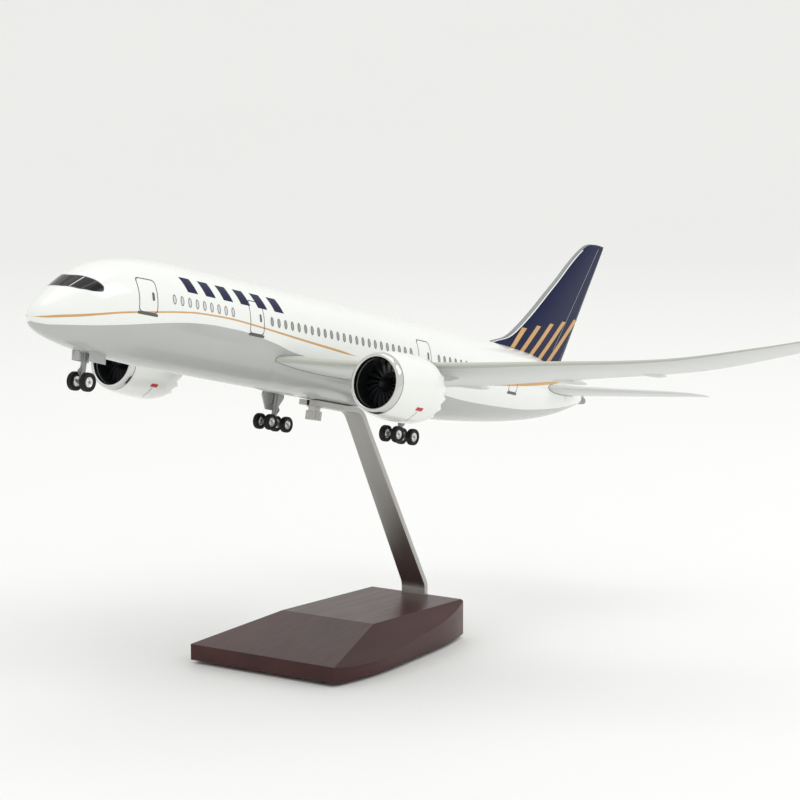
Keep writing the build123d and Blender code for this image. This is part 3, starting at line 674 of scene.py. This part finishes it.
def tail_cone():
    """The grey exhaust outlet at the end of the fuselage."""
    rows = []
    for x, crown, keel, half in OUTLET:
        centre, high = (crown + keel) / 2, (crown - keel) / 2
        rows.append([Vector((x, half * math.sin(t), centre + high * math.cos(t))) for t in turns(48)])
    points, faces = grid(rows, closed=True)
    cone = piece("exhaust_cone_skin", points, faces, [SILVER], "aircraft")
    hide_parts("tail_cone")


# ---------------------------------------------------------------- wings and tail

BLUNT = 0.012


def depth(chord_share, thickness):
    """Half the depth of a four-digit aerofoil at a share of its chord, with a blunt rear edge."""
    s = chord_share
    shape = 0.2969 * math.sqrt(s) - 0.126 * s - 0.3516 * s**2 + 0.2843 * s**3 - 0.1015 * s**4
    return 5 * thickness * shape + BLUNT * s


def chord_shares(count=26):
    """Chord shares, closer together at the leading edge."""
    return [0.5 * (1 - math.cos(math.pi * i / count)) for i in range(count + 1)]


def lifting_surface(side, table, count):
    """Rows of aerofoil points along a wing or tailplane, closer together at the tip."""
    front, back, height, thick = columns(table)
    root, tip = table[0][0], table[-1][0]
    shares = chord_shares()
    rows = []
    for y in [root + (tip - root) * math.sin(t) for t in share(count, 0, math.pi / 2)]:
        chord = back(y) - front(y)
        upper = [(s, depth(s, thick(y))) for s in shares]
        lower = [(s, -depth(s, thick(y))) for s in reversed(shares[1:-1])]
        rows.append([Vector((front(y) + s * chord, side * y, height(y) + d)) for s, d in upper + lower])
    return rows


def capped(rows):
    """Points and faces of a closed surface, with one more face over its last row."""
    points, faces = grid(rows, closed=True)
    faces.append(tuple(range(len(points) - len(rows[0]), len(points))))
    return points, faces


# Faces of the leading edge band above and below the edge.
EDGE_ABOVE = 4
EDGE_BELOW = 2


def wing(side, name):
    """A smooth wing with a grey leading edge band."""
    rows = lifting_surface(side, WING, 90)
    points, faces = capped(rows)
    across = [1] * EDGE_ABOVE + [0] * (len(rows[0]) - EDGE_ABOVE - EDGE_BELOW) + [1] * EDGE_BELOW
    zones = across * (len(rows) - 1) + [0]
    panel = piece(f"wing_skin_{name}", points, faces, [WING_GREY, EDGE_GREY], "aircraft", zones)
    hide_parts(f"wing_{name}")


def tailplane(side, name):
    """A smooth tailplane half."""
    points, faces = capped(lifting_surface(side, TAILPLANE, 40))
    panel = piece(f"tailplane_skin_{name}", points, faces, [WING_GREY], "aircraft")
    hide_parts(f"tailplane_{name}")


def fin_point(x, z, side, lift=0.0):
    """A point on one side of the fin."""
    front, back = FIN_FRONT(z), FIN_BACK(z)
    s = max(0.0, min(1.0, (x - front) / (back - front)))
    return Vector((x, side * (depth(s, FIN_THICK(z)) + lift), z))


# Leading edge strips: distance aft of the edge, faces across each, and where the white line stops.
SILVER_END = 0.24
WHITE_LINE_END = 0.36
SILVER_FACES = 5
WHITE_FACES = 2
WHITE_LINE_TOP = 10.6


def fin():
    """The fin: silver leading edge, white line beside it, navy panel."""
    rows = []
    for z in share(90, FIN[0][0], FIN[-1][0]):
        front, back = FIN_FRONT(z), FIN_BACK(z)
        chord = back - front
        line = min(WHITE_LINE_END, chord * 0.5)
        strip = min(SILVER_END, line * 0.7)
        xs = [front + strip * (i / SILVER_FACES) ** 2 for i in range(SILVER_FACES)]
        xs += [front + strip + (line - strip) * i / WHITE_FACES for i in range(WHITE_FACES)]
        xs += [front + line + (chord - line) * i / 24 for i in range(25)]
        port = [fin_point(x, z, -1) for x in xs]
        starboard = [fin_point(x, z, 1) for x in reversed(xs[1:])]
        rows.append(port + starboard)
    points, faces = capped(rows)
    width = len(rows[0])
    zones = []
    for row in rows[:-1]:
        for column in range(width):
            inward = min(column, width - 1 - column)
            white = inward < SILVER_FACES + WHITE_FACES and row[0].z < WHITE_LINE_TOP
            zones.append(1 if inward < SILVER_FACES else 2 if white else 0)
    zones.append(0)
    panel = piece("fin_skin", points, faces, [NAVY, SILVER, WHITE], "aircraft", zones)
    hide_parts("fin")


def fin_strip(start, end, width, side, steps=24, lift=LIFT):
    """A straight painted strip on the fin between two (x, z) points, its width along x."""
    rows = []
    for i in range(steps + 1):
        x = start[0] + (end[0] - start[0]) * i / steps
        z = start[1] + (end[1] - start[1]) * i / steps
        rows.append([fin_point(x + width * j / 3, z, side, lift) for j in range(4)])
    return grid(rows)


HINGE_LOW = (50.95, 3.3)
HINGE_HIGH = (55.45, 11.1)
GOLD_BAND_COUNT = 5


def decorate_fin():
    """Plain parallel gold bands low on the fin and a light line along the rudder hinge."""
    bands, hinge = [], []
    for side, _ in SIDES:
        hinge.append((0, fin_strip(HINGE_LOW, HINGE_HIGH, 0.07, side)))
        for i in range(GOLD_BAND_COUNT):
            foot = (45.35 + 1.15 * i, 2.85 - 0.19 * i)
            rise = 1.5 + 0.55 * i
            bands.append((0, fin_strip(foot, (foot[0] + 0.92 * rise, foot[1] + rise), 0.50, side)))
    points, faces, zones = joined(bands)
    piece("fin_gold_bands", points, faces, [GOLD], "aircraft", zones)
    points, faces, zones = joined(hinge)
    piece("rudder_hinge_line", points, faces, [SILVER], "aircraft", zones)


# ---------------------------------------------------------------- engines

LATHE_STEPS = 144


def lathe(profile, side, steps=LATHE_STEPS, shift=None):
    """Points and faces of a profile of (x, radius) turned about an engine's axis."""
    rows = []
    for index, (x, radius) in enumerate(profile):
        row = []
        for turn in turns(steps):
            along = x + (shift(index, turn) if shift else 0.0)
            across, up = radius * math.sin(turn), radius * math.cos(turn)
            row.append(Vector((along, side * ENGINE_Y + across, ENGINE_Z + up)))
        rows.append(row)
    return grid(rows, closed=True)


def cowl(side, name):
    """Cowl with a scalloped rear edge around a dark duct."""
    xs = share(40, LIP_BACK, COWL_END)
    profile = [(x, COWL_RADIUS(x)) for x in xs]
    profile.append((COWL_END, 1.60))
    profile += [(x, DUCT_RADIUS(x)) for x in reversed(xs)]
    rear = len(xs)
    steps = CHEVRONS * 12

    def scallop(index, turn):
        wave = abs((turn * CHEVRONS / math.tau) % 1.0 - 0.5) * 2
        return -CHEVRON_DEPTH * wave * max(0.0, 1 - abs(index - rear) / 7)

    points, faces = lathe(profile, side, steps, scallop)
    zones = [0 if index // steps <= rear else 1 for index in range(len(faces))]
    skin = piece(f"cowl_skin_{name}", points, faces, [WHITE, INTAKE], "aircraft", zones)
    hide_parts(f"nacelle_{name}")


def lip(side, name):
    """Polished inlet ring with a dark joint line at each edge."""
    arc = share(25, 0, math.pi)
    profile = []
    for turn in arc:
        radius = 1.59 + 0.17 * math.cos(turn) - 0.045 * math.sin(turn)
        profile.append((LIP_BACK - LIP_LENGTH * math.sin(turn), radius))
    points, faces = lathe(profile, side)
    seams = [1 if row in (0, 22, 23) else 0 for row in range(len(arc) - 1)]
    zones = [zone for zone in seams for _ in range(LATHE_STEPS)]
    skin = piece(f"lip_skin_{name}", points, faces, [CHROME, SEAM], "aircraft", zones)
    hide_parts(f"inlet_lip_{name}")


# Blade section: place along the half chord, height off it.
BLADE_SECTION = ((-1, 0), (-0.4, 0.012), (0.3, 0.014), (1, 0), (0.3, -0.010), (-0.4, -0.010))


def fan(side, name):
    """Spinner and twisted, swept blades."""
    spinner = curve(((0.0, 0.0), (0.12, 0.17), (0.30, 0.29), (0.55, 0.40), (0.87, 0.45)))
    profile = [(SPINNER_X + t, spinner(t)) for t in [0.87 * (i / 16) ** 2 for i in range(17)]]
    parts = [(0, lathe(profile, side, 48))]
    centre = Vector((FAN_X, side * ENGINE_Y, ENGINE_Z))
    for start in turns(BLADES):
        rows = []
        for u in share(13, 0, 1):
            r = BLADE_ROOT + (BLADE_TIP - BLADE_ROOT) * u
            twist = math.radians(28 + 34 * u)
            half = 0.17 + 0.06 * math.sin(math.pi * u)
            turn = start + 0.16 * math.sin(math.pi / 2 * u)
            row = []
            for offset, thick in BLADE_SECTION:
                along = offset * half
                across = along * math.sin(twist) + thick * math.cos(twist)
                aft = along * math.cos(twist) - thick * math.sin(twist)
                angle = turn + across / r
                row.append(centre + Vector((aft, r * math.sin(angle), r * math.cos(angle))))
            rows.append(row)
        parts.append((0, grid(rows, closed=True)))
    points, faces, zones = joined(parts)
    rotor = piece(f"fan_blades_{name}", points, faces, [FAN_METAL], f"fan_{name}", zones)
    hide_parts(f"fan_{name}")


def cowl_marks(side, name):
    """A plain red tag and a thin curved line low on both sides of the cowl."""
    def on_cowl(x, degrees, way):
        radius = COWL_RADIUS(x) + LIFT
        turn = math.radians(degrees)
        across = side * ENGINE_Y + way * radius * math.cos(turn)
        return Vector((x, across, ENGINE_Z - radius * math.sin(turn)))

    parts = []
    for way in (-1, 1):
        tag = [[on_cowl(x, angle, way) for x in share(9, 19.66, 20.26)] for angle in share(5, 32, 39)]
        bend = [(19.90 + 0.28 * t**3 - 0.05 * t, 41 + 31 * t) for t in share(24, 0, 1)]
        line = [[on_cowl(x + width, angle, way) for width in (0, 0.05)] for x, angle in bend]
        parts += [(0, grid(tag)), (1, grid(line))]
    points, faces, zones = joined(parts)
    piece(f"cowl_marks_{name}", points, faces, [RED, SEAM], "aircraft", zones)


# ---------------------------------------------------------------- wheels and carried-over nodes

def turned_part(node, profile, steps, material):
    """A (y, radius) profile turned about the middle of a wheel's node, in place of that node."""
    low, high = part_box(node)
    centre = (low + high) / 2
    rows = []
    for y, r in profile:
        rows.append([centre + Vector((r * math.sin(t), y, r * math.cos(t))) for t in turns(steps)])
    points, faces = grid(rows, closed=True)
    body = node.rsplit("_", 1)[0]
    part = piece(f"{node}_skin", points, faces, [material], body, place=Matrix.Identity(4))
    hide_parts(node)


def half_sizes(node):
    """Radius and half width of a wheel's node."""
    low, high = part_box(node)
    return (high.z - low.z) / 2, (high.y - low.y) / 2


BORE_SHARE = 0.56
TREAD_SHARE = 0.72
TREAD_WIDTH = 0.80
GROOVES = (-0.5, 0.0, 0.5)
GROOVE_DEPTH = 0.16 * MM


def tyre(node):
    """A tyre with rounded shoulders and three tread grooves."""
    radius, half = half_sizes(node)
    wall = radius * (1 - BORE_SHARE)
    profile = []
    for t in share(61, -1.0, 1.0):
        crown = radius - 0.10 * wall * abs(t) ** 3
        if abs(t) > TREAD_SHARE:
            bend = (abs(t) - TREAD_SHARE) / (1 - TREAD_SHARE) * math.pi / 2
            y = half * (TREAD_WIDTH + (1 - TREAD_WIDTH) * math.sin(bend)) * math.copysign(1, t)
            profile.append((y, crown - wall * 0.30 * (1 - math.cos(bend))))
        else:
            groove = GROOVE_DEPTH if min(abs(t * 1.25 - place) for place in GROOVES) < 0.07 else 0.0
            profile.append((half * t * TREAD_WIDTH / TREAD_SHARE, crown - groove))
    flank = [(half * (1.0 - 0.18 * u), radius - wall * (0.42 + 0.58 * u)) for u in (0.0, 0.3, 0.6, 0.85, 1.0)]
    profile = [(-y, r) for y, r in reversed(flank)] + profile + flank
    turned_part(node, profile, 64, TYRE)


# One face of a hub: share of the half width, share of the radius.
HUB_FACE = (
    (0.60, 1.00), (0.98, 0.99), (1.12, 0.93), (1.08, 0.84), (0.72, 0.76), (0.50, 0.60), (0.46, 0.46),
    (0.70, 0.40), (0.92, 0.34), (0.98, 0.20), (1.0, 0.0),
)


def hub(node):
    """A bright wheel centre with a rolled rim, a dish and a cap."""
    radius, half = half_sizes(node)
    face = [(half * y, radius * r) for y, r in HUB_FACE]
    profile = [(-y, r) for y, r in reversed(face)] + face
    turned_part(node, profile, 48, HUB_METAL)


FINISHES = (
    ("base_block", WOOD),
    ("base_pad", PAD),
    ("strut_screws", STEEL),
    ("strut", STRUT),
    ("thumbscrew", KNURLED),
    ("threaded_insert", BRASS),
    ("mounting_block", PLASTIC),
    ("wing_spar", STEEL),
    ("flap_fairings", WING_GREY),
    ("pylon", GREY),
    ("core_cowl", EXHAUST),
    ("nose_gear_doors", DOOR_GREY),
    ("main_gear_door", DOOR_GREY),
    ("nose_gear_leg", GEAR_GREY),
    ("main_gear", GEAR_GREY),
)


def finish_nodes():
    """Give each carried-over node its material and turn wheels into detailed pieces."""
    for node, thing in frame["nodes"].items():
        if node.endswith("_tyre"):
            tyre(node)
        elif node.endswith("_hub"):
            hub(node)
        else:
            material = next((material for start, material in FINISHES if node.startswith(start)), None)
            if material:
                thing.data.materials.clear()
                thing.data.materials.append(material)


# ---------------------------------------------------------------- stage

FLOOR_REACH = 3.0
FLOOR_HALF_WIDTH = 6.0
WALL_RADIUS = 3.0
FLOOR_DROP = 0.2 * MM


def backdrop():
    """Pale floor that sweeps up into a wall behind the model."""
    forward = Vector((VIEW.x, VIEW.y, 0)).normalized()
    right = Vector((forward.y, -forward.x, 0))
    rows = []
    for t in share(40, 0, 1):
        if t < 0.5:
            away, up = FLOOR_REACH * (4 * t - 1), 0.0
        else:
            turn = (t - 0.5) * math.pi
            away, up = FLOOR_REACH + WALL_RADIUS * math.sin(turn), WALL_RADIUS * (1 - math.cos(turn))
        middle = forward * away + Vector((0, 0, up - FLOOR_DROP))
        rows.append([middle - right * FLOOR_HALF_WIDTH, middle + right * FLOOR_HALF_WIDTH])
    points, faces = grid(rows)
    mesh = bpy.data.meshes.new("floor")
    mesh.from_pydata(points, [], faces)
    mesh.materials.append(
        shaded("pale_floor", (0.90, 0.90, 0.895), 0.55, grain=20, tint=0.004, spread=0.02, bump=0.0)
    )
    for polygon in mesh.polygons:
        polygon.use_smooth = True
    floor = bpy.data.objects.new("floor", mesh)
    bpy.context.scene.collection.objects.link(floor)


def lighting():
    """An even pale sky, a key light on the right and a light overhead."""
    world = bpy.data.worlds.new("studio")
    world.use_nodes = True
    world.node_tree.nodes["Background"].inputs["Color"].default_value = (0.93, 0.935, 0.915, 1)
    world.node_tree.nodes["Background"].inputs["Strength"].default_value = 1.0
    bpy.context.scene.world = world
    area_light("key", (0.75, -1.7, 1.9), 1.1, 9)
    area_light("top", (0.3, 0.2, 2.2), 1.6, 7)


def area_light(name, position, size, power):
    """A square soft light that faces the model."""
    light = bpy.data.lights.new(name, "AREA")
    light.size = size
    light.energy = power
    lamp = bpy.data.objects.new(name, light)
    bpy.context.scene.collection.objects.link(lamp)
    lamp.location = position
    lamp.rotation_mode = "QUATERNION"
    lamp.rotation_quaternion = (Vector((0, 0, 0.12)) - Vector(position)).to_track_quat("-Z", "Y")


def camera():
    """A long lens ahead of the nose on the port side, slightly above the model."""
    data = bpy.data.cameras.new("camera")
    data.lens = 114.4
    data.sensor_width = 36
    data.clip_start = 0.05
    data.clip_end = 30
    eye = bpy.data.objects.new("camera", data)
    bpy.context.scene.collection.objects.link(eye)
    eye.location = (-0.9482, -0.7227, 0.2666)
    eye.rotation_mode = "QUATERNION"
    eye.rotation_quaternion = VIEW.to_track_quat("-Z", "Y")
    bpy.context.scene.camera = eye


camera()
backdrop()
lighting()
finish_nodes()
fairing()
tail_cone()
fin()
decorate_fin()
for side, name in SIDES:
    fuselage_half(side, name)
    decals(side, name)
    cockpit(side, name)
    root_seams(side, name)
    livery_bars(side, name)
    wing(side, name)
    tailplane(side, name)
    cowl(side, name)
    lip(side, name)
    fan(side, name)
    cowl_marks(side, name)
bpy.context.scene.view_settings.view_transform = "Standard"
